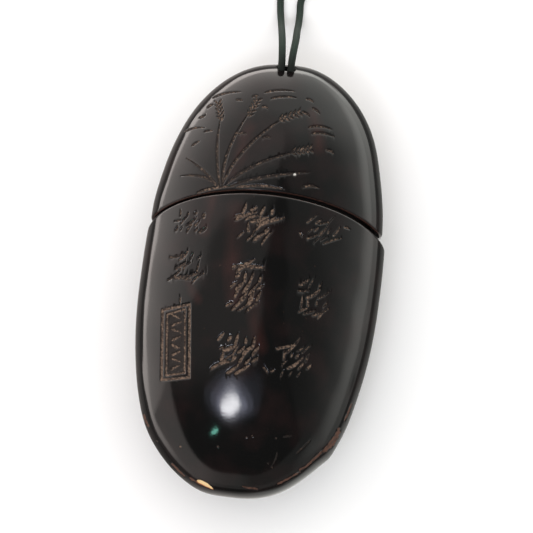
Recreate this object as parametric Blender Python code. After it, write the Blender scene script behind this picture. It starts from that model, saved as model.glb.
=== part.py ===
# An oval two-part seal case of dark lacquered wood with its silk cord, lying on its back.
#
# Metres. +Z comes up out of the front face, +Y runs from the foot to the cap, +X is to the
# right. The origin is on the surface that the case lies on, under the middle of the case.
# The case is domed in front and behind. A soft crest runs round each dome, and a rounded side
# band joins the two. The seam is an arch in plan, the same in front and behind. The body's
# collar goes up inside the cap.

import math

import bmesh
import bpy

# The whole case
CASE_LENGTH = 0.0900
CASE_WIDTH = 0.0492
DOME_HEIGHT = 0.0152  # from the middle plane to the top of either dome
OUTLINE_POWER = 2.35  # the outline's fullness, where 2 is an ellipse
CREST_HEIGHT = 0.0060  # of the crest, from the middle plane
CREST_INSET = 0.0017  # of the crest, in from the outline at the sides
END_INSET_SHARE = 0.75  # the crest's inset at the ends, as a share of that at the sides
REST_FLAT_WIDTH = 0.0100  # of the flat spot in the middle of the back

# The seam
SEAM_CROWN = 0.0172  # the arch's top, from the middle of the length
SEAM_RISE = 0.0095
SEAM_REACH = 0.0006  # how far the arch's feet stand outside the case's widest place
SEAM_LEAN = 0.022  # the arch's slope, higher at the right
SEAM_SHIFT = 0.0006  # of the arch's middle, to the right
SEAM_GAP = 0.0007
CAP_STEP = 0.0006  # how far the cap's edge stands inside the body's shoulder
CAP_STEP_FADE = 0.0150  # the length over which that step fades out up the cap

# The walls, and the collar inside the cap
BODY_WALL = 0.0022
CAP_WALL = 0.0016
COLLAR_WALL = 0.0012
COLLAR_RISE = 0.0035  # above the arch's top
COLLAR_CLEARANCE = 0.0003
SHELF_WALL = 0.0030  # under the lowest place of the seam, beside the collar
SHOULDER_LENGTH = 0.0080  # over which the hollow narrows to the collar

# The cord and its hole
CORD_DIAMETER = 0.0015
CORD_SPACING = 0.00195  # between the two strands' middles, in the hole
CORD_HOLE_OFFSET = -0.0007  # of the hole's middle, to the left
CORD_HOLE_INSET = 0.00125  # of the hole's mouth, on the front's crest, in from the case's end
CORD_HOLE_SLANT = math.radians(45)  # up and out of the cap
CORD_HOLE_INSIDE = 0.0034  # how far the hole's cutter runs in from the mouth
CORD_CLEARANCE = 0.0003
CORD_STEP = 0.0030  # between the tube's points

# How finely the round forms are divided
OUTLINE_STEPS = 64
FLAT_RINGS = 2
DOME_RINGS = 7
BAND_RINGS = 3
SECTION_STEPS = 40
HOLLOW_STEPS = 9
SEAM_STEPS = 28
SLOT_STEPS = 8
TIP_ANGLE = math.radians(7)  # where the hollows' last rings are, short of a point
CUT_MARGIN = 0.0050  # how far a cutter runs past what it cuts

LACQUER_COLOUR = (0.014, 0.008, 0.007, 1.0)
SILK_COLOUR = (0.035, 0.060, 0.050, 1.0)

HALF_LENGTH = CASE_LENGTH / 2
HALF_WIDTH = CASE_WIDTH / 2
CORD_HOLE_PLACE = HALF_LENGTH - CORD_HOLE_INSET
CREST_LEVEL = 1 - CREST_INSET / HALF_WIDTH
REST_LEVEL = REST_FLAT_WIDTH / CASE_WIDTH
END_RATIO = END_INSET_SHARE * HALF_WIDTH / HALF_LENGTH
COLLAR_TOP = SEAM_CROWN + COLLAR_RISE
SEAM_FOOT = SEAM_CROWN - SEAM_RISE - SEAM_LEAN * HALF_WIDTH
SHOULDER_TOP = SEAM_FOOT - SHELF_WALL


def dome_height(level):
    """Height above the middle plane at a level, from 0 in the middle to 1 at the outline."""
    if level > CREST_LEVEL:
        return CREST_HEIGHT * math.sqrt((1 - level) / (1 - CREST_LEVEL))
    reach = CREST_LEVEL * HALF_WIDTH
    rise = DOME_HEIGHT - CREST_HEIGHT
    radius = (reach**2 + rise**2) / (2 * rise)
    return DOME_HEIGHT - radius + math.sqrt(radius**2 - (level * HALF_WIDTH) ** 2)


MIDDLE_HEIGHT = dome_height(REST_LEVEL)


def end_share(level):
    """Share of the half length that a level reaches, fuller towards the ends."""
    inset = 1 - level
    return 1 - inset * (END_RATIO + (1 - END_RATIO) * inset)


def level_at_end(share):
    """The level that reaches a share of the half length."""
    slack = 1 - END_RATIO
    inset = (math.sqrt(END_RATIO**2 + 4 * slack * (1 - share)) - END_RATIO) / (2 * slack)
    return 1 - inset


def half_width_at(y, wall=0.0):
    """Half the width at y, of the form that a wall leaves inside the case."""
    share = abs(y) / (HALF_LENGTH - wall)
    return (HALF_WIDTH - wall) * (1 - share**OUTLINE_POWER) ** (1 / OUTLINE_POWER)


def half_height_at(y, wall=0.0):
    """Half the thickness on the middle line at y, of the form that a wall leaves."""
    level = level_at_end(abs(y) / (HALF_LENGTH - wall))
    return dome_height(level) * (1 - wall / DOME_HEIGHT)


def seam_point(angle, gap=0.0):
    """Plan place on the seam's arch, from -90 to 90 degrees, set in by a gap."""
    reach = HALF_WIDTH + SEAM_REACH
    out = (SEAM_RISE * math.sin(angle), reach * math.cos(angle))
    size = math.hypot(*out)
    x = reach * math.sin(angle) - gap * out[0] / size + SEAM_SHIFT
    y = SEAM_CROWN - SEAM_RISE * (1 - math.cos(angle)) - gap * out[1] / size
    return x, y + SEAM_LEAN * x


def seam_height(x):
    """Height of the seam's arch at x."""
    across = (x - SEAM_SHIFT) / (HALF_WIDTH + SEAM_REACH)
    drop = 1 - math.sqrt(max(0.0, 1 - across**2))
    return SEAM_CROWN - SEAM_RISE * drop + SEAM_LEAN * x


def ring_level(ring):
    """Level of one of the rings between a dome's middle and the outline."""
    if ring <= FLAT_RINGS:
        return REST_LEVEL * ring / FLAT_RINGS
    ring -= FLAT_RINGS
    if ring <= DOME_RINGS:
        return REST_LEVEL + (CREST_LEVEL - REST_LEVEL) * ring / DOME_RINGS
    left = 1 - (ring - DOME_RINGS) / BAND_RINGS
    return 1 - (1 - CREST_LEVEL) * left**2


def outline_share(part):
    """A cosine or sine, made fuller by the outline's power."""
    return math.copysign(abs(part) ** (2 / OUTLINE_POWER), part)


def new_collection(name):
    collection = bpy.data.collections.new(name)
    bpy.context.scene.collection.children.link(collection)
    return collection


def new_material(name, colour, roughness):
    material = bpy.data.materials.new(name)
    material.use_nodes = True
    shader = material.node_tree.nodes["Principled BSDF"]
    shader.inputs["Base Color"].default_value = colour
    shader.inputs["Roughness"].default_value = roughness
    shader.inputs["Metallic"].default_value = 0.0
    material.diffuse_color = colour
    return material


def new_object(name, bm, collection):
    """A mesh object from finished geometry, which is let go."""
    mesh = bpy.data.meshes.new(name)
    bmesh.ops.recalc_face_normals(bm, faces=bm.faces)
    bm.to_mesh(mesh)
    bm.free()
    mesh.shade_smooth()
    mesh.set_sharp_from_angle(angle=math.radians(40))
    piece = bpy.data.objects.new(name, mesh)
    collection.objects.link(piece)
    return piece


def case_form(name, collection, step=0.0):
    """The whole case's outer form, set in by a step beside and below the seam."""
    rings = FLAT_RINGS + DOME_RINGS + BAND_RINGS
    bm = bmesh.new()
    bmesh.ops.create_uvsphere(bm, u_segments=OUTLINE_STEPS, v_segments=2 * rings, radius=1.0)
    for vert in bm.verts:
        away = math.hypot(vert.co.x, vert.co.y)
        level = ring_level(rings * math.atan2(away, abs(vert.co.z)) / (math.pi / 2))
        around = math.atan2(vert.co.y, vert.co.x)
        x = HALF_WIDTH * level * outline_share(math.cos(around))
        y = HALF_LENGTH * end_share(level) * outline_share(math.sin(around))
        z = math.copysign(dome_height(level), vert.co.z)
        above = max(0.0, y - seam_height(x))
        inset = step * max(0.0, 1 - above / CAP_STEP_FADE) ** 2
        vert.co.x = x * (1 - inset / HALF_WIDTH)
        vert.co.y = y
        vert.co.z = max(0.0, MIDDLE_HEIGHT + z * (1 - inset / DOME_HEIGHT))
    return new_object(name, bm, collection)


def loft(name, collection, rings):
    """A closed skin through rings of as many points each, with a face at each end."""
    bm = bmesh.new()
    loops = [[bm.verts.new(point) for point in ring] for ring in rings]
    for lower, upper in zip(loops, loops[1:]):
        for near in range(len(lower)):
            far = (near + 1) % len(lower)
            bm.faces.new((lower[near], lower[far], upper[far], upper[near]))
    bm.faces.new(reversed(loops[0]))
    bm.faces.new(loops[-1])
    return new_object(name, bm, collection)


def section(y, half_wide, half_high):
    """Points round an ellipse across the case at y."""
    angles = [2 * math.pi * step / SECTION_STEPS for step in range(SECTION_STEPS)]
    return [
        (half_wide * math.cos(angle), y, MIDDLE_HEIGHT + half_high * math.sin(angle))
        for angle in angles
    ]


def slot_section(distance):
    """Points round the cord's hole, two half circles joined by flats, out along its slant."""
    radius = CORD_DIAMETER / 2 + CORD_CLEARANCE
    ahead, up = math.cos(CORD_HOLE_SLANT), math.sin(CORD_HOLE_SLANT)
    ring = []
    for side in (1, -1):
        middle = CORD_HOLE_OFFSET + side * CORD_SPACING / 2
        for step in range(SLOT_STEPS + 1):
            angle = math.pi * (step / SLOT_STEPS - 0.5)
            rise = side * radius * math.sin(angle)
            ring.append(
                (
                    middle + side * radius * math.cos(angle),
                    CORD_HOLE_PLACE + distance * ahead - rise * up,
                    MIDDLE_HEIGHT + CREST_HEIGHT + distance * up + rise * ahead,
                )
            )
    return ring


def cap_side(name, collection, gap=0.0):
    """The space on the cap's side of the seam, brought nearer to the body by a gap."""
    side = HALF_WIDTH + CUT_MARGIN
    depth = DOME_HEIGHT + CUT_MARGIN
    top = HALF_LENGTH + CUT_MARGIN
    angles = [math.pi * (step / SEAM_STEPS - 0.5) for step in range(SEAM_STEPS + 1)]
    arch = [seam_point(angle, gap) for angle in angles]
    corners = [(side, arch[-1][1]), (side, top), (-side, top), (-side, arch[0][1])]
    plan = arch + corners
    heights = (MIDDLE_HEIGHT - depth, MIDDLE_HEIGHT + depth)
    return loft(name, collection, [[(x, y, z) for x, y in plan] for z in heights])


def collar_size(inward):
    """Half width and half height at the collar, in from the cap's wall by a distance."""
    return (
        half_width_at(COLLAR_TOP, CAP_WALL) - inward,
        half_height_at(COLLAR_TOP, CAP_WALL) - inward,
    )


def end_stations(wall, near):
    """Places along the middle line from near the end of the form inside a wall to near."""
    reach = HALF_LENGTH - wall
    last = math.acos(near / reach)
    steps = range(HOLLOW_STEPS + 1)
    return [reach * math.cos(TIP_ANGLE + (last - TIP_ANGLE) * s / HOLLOW_STEPS) for s in steps]


def body_hollow(collection):
    """The space inside the body, from the foot, narrowing to the collar, and out of its mouth."""
    narrow = collar_size(COLLAR_CLEARANCE + COLLAR_WALL)
    start = SHOULDER_TOP - SHOULDER_LENGTH
    rings = []
    for y in end_stations(BODY_WALL, -start):
        rings.append(section(-y, half_width_at(y, BODY_WALL), half_height_at(y, BODY_WALL)))
    wide = (half_width_at(start, BODY_WALL), half_height_at(start, BODY_WALL))
    for step in range(1, HOLLOW_STEPS + 1):
        share = step / HOLLOW_STEPS
        ease = share * share * (3 - 2 * share)
        sizes = [big + (small - big) * ease for big, small in zip(wide, narrow)]
        rings.append(section(start + SHOULDER_LENGTH * share, *sizes))
    rings.append(section(COLLAR_TOP + CUT_MARGIN, *narrow))
    return loft("body_hollow", collection, rings)


def collar_form(collection):
    """The collar's outer form, from inside the body's shoulder to above the seam."""
    size = collar_size(COLLAR_CLEARANCE)
    rings = [section(y, *size) for y in (SHOULDER_TOP, COLLAR_TOP)]
    return loft("collar_form", collection, rings)


def cap_hollow(collection):
    """The space inside the cap: a straight socket for the collar, then the dome."""
    rings = [section(SHOULDER_TOP, *collar_size(0.0))]
    for y in reversed(end_stations(CAP_WALL, COLLAR_TOP)):
        rings.append(section(y, half_width_at(y, CAP_WALL), half_height_at(y, CAP_WALL)))
    return loft("cap_hollow", collection, rings)


def cord_slot(collection):
    """The cord's hole, slanting out through the front's crest at the cap's end."""
    reach = (-CORD_HOLE_INSIDE, CUT_MARGIN)
    return loft("cord_slot", collection, [slot_section(distance) for distance in reach])


def combine(piece, tool, operation):
    """Adds a cut, a join or an intersection with a tool, which stays out of the model."""
    tool.hide_render = True
    tool.display_type = "WIRE"
    modifier = piece.modifiers.new(tool.name, "BOOLEAN")
    modifier.operation = operation
    modifier.solver = "EXACT"
    modifier.object = tool


def make_body(parts, tools, material):
    body = case_form("body", parts)
    combine(body, cap_side("cap_space", tools, SEAM_GAP), "DIFFERENCE")
    combine(body, collar_form(tools), "UNION")
    combine(body, body_hollow(tools), "DIFFERENCE")
    body.data.materials.append(material)


def make_cap(parts, tools, material):
    cap = case_form("cap", parts, CAP_STEP)
    combine(cap, cap_side("cap_half", tools), "INTERSECT")
    combine(cap, cap_hollow(tools), "DIFFERENCE")
    combine(cap, cord_slot(tools), "DIFFERENCE")
    cap.data.materials.append(material)


# The cord's route, in millimetres, chosen by hand: out of the cap on a slant, over in an arc,
# down on to the surface, round the loop at the far end and back in beside itself.
CORD_ROUTE = (
    (-1.67, 41.35, 18.43),
    (-1.67, 42.55, 19.63),
    (-1.67, 43.75, 20.83),
    (-1.75, 45.0, 21.90),
    (-1.94, 46.7, 22.35),
    (-2.14, 48.4, 21.60),
    (-2.33, 50.0, 19.50),
    (-2.52, 51.6, 16.00),
    (-2.69, 53.3, 11.00),
    (-2.86, 55.0, 6.00),
    (-3.16, 57.0, 2.60),
    (-3.60, 59.5, 1.05),
    (-4.00, 62.3, 0.80),
    (-4.60, 65.4, 0.80),
    (-4.90, 68.9, 0.80),
    (-3.93, 71.2, 0.80),
    (-1.60, 72.2, 0.80),
    (0.75, 71.2, 0.80),
    (1.70, 68.9, 0.80),
    (1.30, 65.4, 0.80),
    (0.45, 62.3, 0.80),
    (0.56, 59.5, 1.05),
    (0.60, 57.0, 2.60),
    (0.51, 55.0, 6.00),
    (0.50, 53.3, 11.00),
    (0.50, 51.6, 16.00),
    (0.50, 50.0, 19.50),
    (0.42, 48.4, 21.60),
    (0.32, 46.7, 22.35),
    (0.25, 45.0, 21.90),
    (0.28, 43.75, 20.83),
    (0.28, 42.55, 19.63),
    (0.28, 41.35, 18.43),
)
MILLIMETRE = 0.001
ROUTE_DETAIL = 24  # places read on the smooth curve between two of the route's points


def smooth_route():
    """Closely spaced places on the smooth curve through the cord's route."""
    points = [tuple(MILLIMETRE * value for value in point) for point in CORD_ROUTE]
    padded = [points[0], *points, points[-1]]
    places = []
    for before, start, end, after in zip(padded, padded[1:], padded[2:], padded[3:]):
        for step in range(ROUTE_DETAIL):
            t = step / ROUTE_DETAIL
            weights = (
                (-t + 2 * t * t - t**3) / 2,
                (2 - 5 * t * t + 3 * t**3) / 2,
                (t + 4 * t * t - 3 * t**3) / 2,
                (t**3 - t * t) / 2,
            )
            corners = (before, start, end, after)
            places.append(
                tuple(sum(w * c[axis] for w, c in zip(weights, corners)) for axis in range(3))
            )
    return [*places, points[-1]]


def even_points(places, spacing):
    """Points an even distance apart along a line of closely spaced places."""
    travelled = [0.0]
    for near, far in zip(places, places[1:]):
        travelled.append(travelled[-1] + math.dist(near, far))
    count = round(travelled[-1] / spacing)
    points = []
    index = 0
    for step in range(count + 1):
        wanted = travelled[-1] * step / count
        while index < len(travelled) - 2 and travelled[index + 1] < wanted:
            index += 1
        share = (wanted - travelled[index]) / (travelled[index + 1] - travelled[index])
        near, far = places[index], places[index + 1]
        points.append([a + (b - a) * share for a, b in zip(near, far)])
    return points


def make_cord(parts, material):
    curve = bpy.data.curves.new("cord", "CURVE")
    curve.dimensions = "3D"
    curve.bevel_depth = CORD_DIAMETER / 2
    curve.bevel_resolution = 2
    curve.use_fill_caps = True
    points = even_points(smooth_route(), CORD_STEP)
    spline = curve.splines.new("POLY")
    spline.points.add(len(points) - 1)
    for target, point in zip(spline.points, points):
        target.co = (*point, 1.0)
    spline.use_smooth = True
    curve.materials.append(material)
    parts.objects.link(bpy.data.objects.new("cord", curve))


def main():
    for old in list(bpy.data.objects):
        bpy.data.objects.remove(old)
    parts = new_collection("seal_case")
    tools = new_collection("tools")
    lacquer = new_material("lacquered_wood", LACQUER_COLOUR, 0.22)
    silk = new_material("silk_cord", SILK_COLOUR, 0.70)
    make_body(parts, tools, lacquer)
    make_cap(parts, tools, lacquer)
    make_cord(parts, silk)


main()
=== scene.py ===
import math
from functools import partial

import bpy
import numpy as np
from mathutils import Matrix, Vector, noise


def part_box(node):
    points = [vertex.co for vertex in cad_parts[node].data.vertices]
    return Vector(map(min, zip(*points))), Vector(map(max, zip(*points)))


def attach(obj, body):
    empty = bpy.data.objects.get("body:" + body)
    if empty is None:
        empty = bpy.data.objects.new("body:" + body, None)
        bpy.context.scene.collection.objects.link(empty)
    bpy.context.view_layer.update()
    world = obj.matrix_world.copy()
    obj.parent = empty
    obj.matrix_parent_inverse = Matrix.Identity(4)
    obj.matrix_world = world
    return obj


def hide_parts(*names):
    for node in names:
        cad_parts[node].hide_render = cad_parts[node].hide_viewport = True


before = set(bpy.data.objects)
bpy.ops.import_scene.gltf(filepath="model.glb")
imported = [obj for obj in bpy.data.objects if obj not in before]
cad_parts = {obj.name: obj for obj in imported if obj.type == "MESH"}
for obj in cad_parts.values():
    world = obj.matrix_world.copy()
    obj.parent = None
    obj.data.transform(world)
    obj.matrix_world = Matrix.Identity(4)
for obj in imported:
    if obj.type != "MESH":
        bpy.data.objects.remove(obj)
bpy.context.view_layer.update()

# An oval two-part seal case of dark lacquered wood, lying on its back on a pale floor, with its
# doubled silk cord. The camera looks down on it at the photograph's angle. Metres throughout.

MM = 0.001
body_low, body_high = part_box("body")

# The case's form, from the frame's boxes and its maker's sizes
HALF_WIDTH = (body_high.x - body_low.x) / 2
HALF_LENGTH = -body_low.y
OUTLINE_POWER = 2.35
DOME_HEIGHT = 15.2 * MM
MIDDLE_HEIGHT = body_high.z - DOME_HEIGHT
CREST_HEIGHT = 6.0 * MM
CREST_INSET = 1.7 * MM
CREST_SOFTNESS = 0.1 * MM
BAND_POWER = 0.38  # how full the side band is, under the crest
END_INSET_SHARE = 0.75
CREST_LEVEL = 1 - CREST_INSET / HALF_WIDTH
CREST_SWAY = 0.016  # how much further in the crest stands at the right
END_RATIO = END_INSET_SHARE * HALF_WIDTH / HALF_LENGTH

# The arched seam, the walls and the collar
SEAM_CROWN = 17.2 * MM
SEAM_RISE = 9.5 * MM
SEAM_REACH = 0.6 * MM
SEAM_LEAN = 0.022
SEAM_SHIFT = 0.6 * MM
SEAM_GAP = 0.72 * MM
SEAM_GAP_LEAN = 0.012  # how much wider it is at the right
CAP_STEP = 0.5 * MM
CAP_STEP_LEAN = 0.35  # how much larger it is at the right
CAP_STEP_FADE = 15.0 * MM
BODY_WALL = 2.2 * MM
CAP_WALL = 1.6 * MM
COLLAR_WALL = 1.2 * MM
COLLAR_CLEARANCE = 0.3 * MM
COLLAR_CHAMFER = 0.2 * MM
COLLAR_TOP = body_high.y
SHELF_WALL = 3.0 * MM
SHOULDER_TOP = SEAM_CROWN - SEAM_RISE - SEAM_LEAN * HALF_WIDTH - SHELF_WALL
SHOULDER_LENGTH = 8.0 * MM
HOLLOW_STEPS = 8
TIP_ANGLE = math.radians(7)  # where a hollow's last ring is, short of its tip

# The photograph: where the case's middle is in it, how long the case is, how far it leans
PHOTO_SIZE = 533
CASE_MIDDLE_PX = (260.4, 283.1)
CASE_LENGTH_PX = 437.9
CASE_LEAN = math.radians(7.75)
CAMERA_TILT = math.radians(5.5)
CAMERA_DISTANCE = 0.45
SENSOR = 36.0
PIXEL = 2 * HALF_LENGTH * math.cos(CAMERA_TILT) / CASE_LENGTH_PX


def stand(name, data, place, axes):
    """Adds an object at a place, turned to the given axes."""
    thing = bpy.data.objects.new(name, data)
    thing.matrix_world = Matrix.Translation(place) @ Matrix(axes).transposed().to_4x4()
    bpy.context.scene.collection.objects.link(thing)
    return thing


def make_camera():
    """Looks down on the case, a little from the foot's side, turned as the photograph is."""
    back = Vector((0, -math.sin(CAMERA_TILT), math.cos(CAMERA_TILT)))
    level = Vector((1, 0, 0))
    along = back.cross(level)
    right = level * math.cos(CASE_LEAN) + along * math.sin(CASE_LEAN)
    up = along * math.cos(CASE_LEAN) - level * math.sin(CASE_LEAN)
    middle = Vector((0, 0, MIDDLE_HEIGHT))
    to_right = (PHOTO_SIZE / 2 - CASE_MIDDLE_PX[0]) * PIXEL
    to_top = (CASE_MIDDLE_PX[1] - PHOTO_SIZE / 2) * PIXEL
    aim = middle + right * to_right + up * to_top
    data = bpy.data.cameras.new("camera")
    data.sensor_width = SENSOR
    data.lens = SENSOR * CAMERA_DISTANCE / (PHOTO_SIZE * PIXEL)
    data.clip_start = 0.01
    camera = stand("camera", data, aim + back * CAMERA_DISTANCE, (right, up, back))
    bpy.context.scene.camera = camera
    return camera


camera = make_camera()


# The case's form, worked out in arrays

LEAST_LEVEL = 1e-5
HALVINGS = 30  # of the range that a place's level is sought in
SIGHT_STEPS = 6  # of a ray's meeting with the domed face


def smooth_between(value, low, high):
    share = np.clip((value - low) / (high - low), 0, 1)
    return share * share * (3 - 2 * share)


def end_share(level):
    """Share of the half length that a level reaches, from 0 in a dome's middle to 1."""
    inset = 1 - level
    return 1 - inset * (END_RATIO + (1 - END_RATIO) * inset)


def dome_height(level):
    """Height above the middle plane at a level, with the crest eased over."""
    reach = CREST_LEVEL * HALF_WIDTH
    rise = DOME_HEIGHT - CREST_HEIGHT
    radius = (reach**2 + rise**2) / (2 * rise)
    across = np.minimum(level * HALF_WIDTH, radius)
    dome = DOME_HEIGHT - radius + np.sqrt(radius**2 - across**2)
    left = np.maximum(0, 1 - level) / (1 - CREST_LEVEL)
    band = CREST_HEIGHT * left**BAND_POWER
    return -CREST_SOFTNESS * np.logaddexp(-dome / CREST_SOFTNESS, -band / CREST_SOFTNESS)


def level_of(x, y):
    """Level of the places (x, y) in plan."""
    low = np.full(x.shape, LEAST_LEVEL)
    high = np.ones(x.shape)
    for _ in range(HALVINGS):
        level = (low + high) / 2
        wide = np.abs(x) / (HALF_WIDTH * level)
        long = np.abs(y) / (HALF_LENGTH * end_share(level))
        outside = wide**OUTLINE_POWER + long**OUTLINE_POWER > 1
        low = np.where(outside, level, low)
        high = np.where(outside, high, level)
    return (low + high) / 2


def size_at(y, wall):
    """Half width and half height of the form inside a wall, at a place along the case."""
    share = abs(y) / (HALF_LENGTH - wall)
    wide = (HALF_WIDTH - wall) * (1 - share**OUTLINE_POWER) ** (1 / OUTLINE_POWER)
    slack = 1 - END_RATIO
    inset = (math.sqrt(END_RATIO**2 + 4 * slack * (1 - share)) - END_RATIO) / (2 * slack)
    return wide, float(dome_height(np.array(1 - inset))) * (1 - wall / DOME_HEIGHT)


def seam_height(x, gap=0.0):
    """Height in plan of the seam's arch at x, set in by a gap."""
    across = (x - SEAM_SHIFT) / (HALF_WIDTH + SEAM_REACH)
    drop = SEAM_RISE * (1 - np.sqrt(np.maximum(0, 1 - across**2)))
    lean = SEAM_LEAN - (SEAM_GAP_LEAN if gap else 0.0)
    return SEAM_CROWN - gap - drop + lean * x


def face_places(pixels):
    """Plan places on the case's front face that the camera sees at pixels of the photograph."""
    reach = SENSOR / camera.data.lens / PHOTO_SIZE
    across, down = (pixels - PHOTO_SIZE / 2).T * reach
    rays = np.stack([across, -down, -np.ones(len(pixels))], axis=1)
    rays = rays @ np.array(camera.matrix_world.to_3x3()).T
    eye = np.array(camera.matrix_world.translation)
    height = np.full(len(pixels), MIDDLE_HEIGHT + DOME_HEIGHT)
    for _ in range(SIGHT_STEPS):
        places = eye + rays * ((height - eye[2]) / rays[:, 2])[:, None]
        level = level_of(places[:, 0], places[:, 1])
        height = MIDDLE_HEIGHT + dome_height(level)
    return places[:, :2]


# The cord's route, in millimetres: how far along the case, how high, and how far
# across on the way out and on the way back. It leaves the cap on a slant, bends over in an arc,
# comes down on to the floor and closes there.
CORD_DIAMETER = 1.5 * MM
CORD_ROUTE = (
    (41.35, 18.43, -1.67, 0.28), (42.55, 19.63, -1.67, 0.28), (43.75, 20.83, -1.67, 0.28),
    (45.0, 21.9, -1.75, 0.25), (46.7, 22.35, -1.94, 0.32), (48.4, 21.6, -2.14, 0.42),
    (50.0, 19.5, -2.33, 0.5), (51.6, 16.0, -2.52, 0.5), (53.3, 11.0, -2.69, 0.5),
    (55.0, 6.0, -2.86, 0.51), (57.0, 2.6, -3.16, 0.6), (59.5, 1.05, -3.6, 0.56),
    (62.3, 0.8, -4.0, 0.45), (65.4, 0.8, -4.6, 1.3), (68.9, 0.8, -4.9, 1.7),
    (71.2, 0.8, -3.93, 0.75),
)
CORD_FAR_END = (-1.6, 72.2, 0.8)
CURVE_STEPS = 60  # between two points of the route
# Weights of four points of it, a row for each power of the way between the middle two
CURVE = np.array(((-1, 3, -3, 1), (2, -5, 4, -1), (-1, 0, 1, 0), (0, 2, 0, 0))) / 2
CORD_RING_STEP = 0.16 * MM
CORD_SIDES = 24
STRAND_TURN = 3.2 * MM  # length over which the braid's strands go once round
STRANDS = 4
STRAND_RELIEF = 0.05 * MM
HOLE_SHADE_ENDS = (4.2 * MM, 8.0 * MM)  # from each end: painted shade, dark up to the first and gone past the second


def distances_along(places):
    """How far along their line each of some places is."""
    return np.concatenate([[0], np.cumsum(np.linalg.norm(np.diff(places, axis=0), axis=1))])


def places_at(wanted, travelled, places):
    return np.stack([np.interp(wanted, travelled, axis) for axis in places.T], axis=1)


def keep(piece, **fields):
    """Stores numbers for a piece's points, which the finish reads."""
    layers = piece.data.attributes
    for name, values in fields.items():
        layer = layers.get(name) or layers.new(name, "FLOAT", "POINT")
        layer.data.foreach_set("value", values)


def smooth_route():
    """Closely spaced places on the smooth curve through the cord's route, and its length."""
    out = [(across, along, high) for along, high, across, _ in CORD_ROUTE]
    back = [(across, along, high) for along, high, _, across in reversed(CORD_ROUTE)]
    points = np.array([*out, CORD_FAR_END, *back]) * MM
    padded = np.vstack([points[:1], points, points[-1:]])
    weights = np.vander(np.linspace(0, 1, CURVE_STEPS, endpoint=False), 4) @ CURVE
    spans = [weights @ padded[start : start + 4] for start in range(len(points) - 1)]
    places = np.vstack([*spans, points[-1:]])
    travelled = distances_along(places)
    wanted = np.linspace(0, travelled[-1], round(travelled[-1] / CORD_RING_STEP) + 1)
    return places_at(wanted, travelled, places), float(travelled[-1])


def make_cord():
    """Silk cord: a round tube whose skin is raised into crossing strands."""
    path, length = smooth_route()
    ahead = np.gradient(path, axis=0)
    ahead /= np.linalg.norm(ahead, axis=1)[:, None]
    side = np.array((0.0, 0.0, 1.0))
    angles = np.linspace(0, 2 * math.pi, CORD_SIDES, endpoint=False)
    along = np.arange(len(path)) * CORD_RING_STEP
    # painted shade near both ends, where the cord goes into the cap's hole
    soiled = 1 - smooth_between(np.minimum(along, along[::-1]), *HOLE_SHADE_ENDS)
    wind = 2 * math.pi * along[:, None] / STRAND_TURN
    lay = np.cos(STRANDS * (angles + wind)) * np.cos(STRANDS * (angles - wind))
    raised = 0.5 + 0.5 * lay
    points = []
    for place, way, radius in zip(path, ahead, CORD_DIAMETER / 2 - STRAND_RELIEF * (1 - raised)):
        side = side - way * side.dot(way)
        side /= np.linalg.norm(side)
        across = np.outer(radius * np.cos(angles), side)
        points += [*(place + across + np.outer(radius * np.sin(angles), np.cross(way, side)))]
    ring = np.arange(CORD_SIDES)
    after = np.roll(ring, -1)
    quads = np.stack([ring, after, after + CORD_SIDES, ring + CORD_SIDES], axis=1)
    last = CORD_SIDES * (len(path) - 1)
    faces = [quad for start in range(0, last, CORD_SIDES) for quad in (quads + start).tolist()]
    mesh = bpy.data.meshes.new("silk_cord")
    mesh.from_pydata(points, [], [*faces, ring[::-1].tolist(), (ring + last).tolist()])
    mesh.shade_smooth()
    cord = bpy.data.objects.new("silk_cord", mesh)
    keep(cord, raised=raised.ravel(), soiled=np.repeat(soiled, CORD_SIDES))
    bpy.context.scene.collection.objects.link(cord)
    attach(cord, "root")
    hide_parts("cord")
    return cord


cord = make_cord()


# Strokes of the carving

STROKE_STEP = 0.12 * MM
ROUGH_POINTS = 40
ENTRY_SHARE = 0.15  # of a stroke's length, over which it widens
EXIT_SHARE = 0.45  # over which it narrows
TIP_WIDTH = 0.12  # at its ends, as a share of the widest


class Stroke:
    """A cut with a middle line in plan, which starts at a pixel, bends towards a second and ends
    at a third. Its greatest half width and its depth are given in mm."""

    def __init__(self, pixels, half_width, depth=0.0, fill=1.0, blunt=False):
        start, bend, finish = np.array(pixels, float).reshape(3, 2)
        t = np.linspace(0, 1, ROUGH_POINTS)[:, None]
        self.rough = (1 - t) ** 2 * start + 2 * t * (1 - t) * bend + t**2 * finish
        self.half_width = half_width * MM
        self.depth = depth * MM
        self.fill = fill
        self.blunt = blunt

    def settle(self, places):
        """Takes the curve's places on the face and spaces them evenly."""
        travelled = distances_along(places)
        t = np.linspace(0, 1, max(3, int(travelled[-1] / STROKE_STEP)))
        self.places = places_at(t * travelled[-1], travelled, places)
        if self.blunt:
            self.widths = np.full(len(t), self.half_width)
        else:
            press = np.minimum(1, t / ENTRY_SHARE) ** 0.5
            press = press * np.minimum(1, (1 - t) / EXIT_SHARE) ** 0.7
            self.widths = self.half_width * (TIP_WIDTH + (1 - TIP_WIDTH) * press)


def settle_all(strokes):
    places = face_places(np.vstack([stroke.rough for stroke in strokes]))
    for index, stroke in enumerate(strokes):
        stroke.settle(places[ROUGH_POINTS * index : ROUGH_POINTS * (index + 1)])
    return strokes


def patches(lines):
    """Blunt strokes that only mark a place, from lines with their half widths in mm."""
    return settle_all([Stroke(line, half_width, blunt=True) for *line, half_width in lines])


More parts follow.
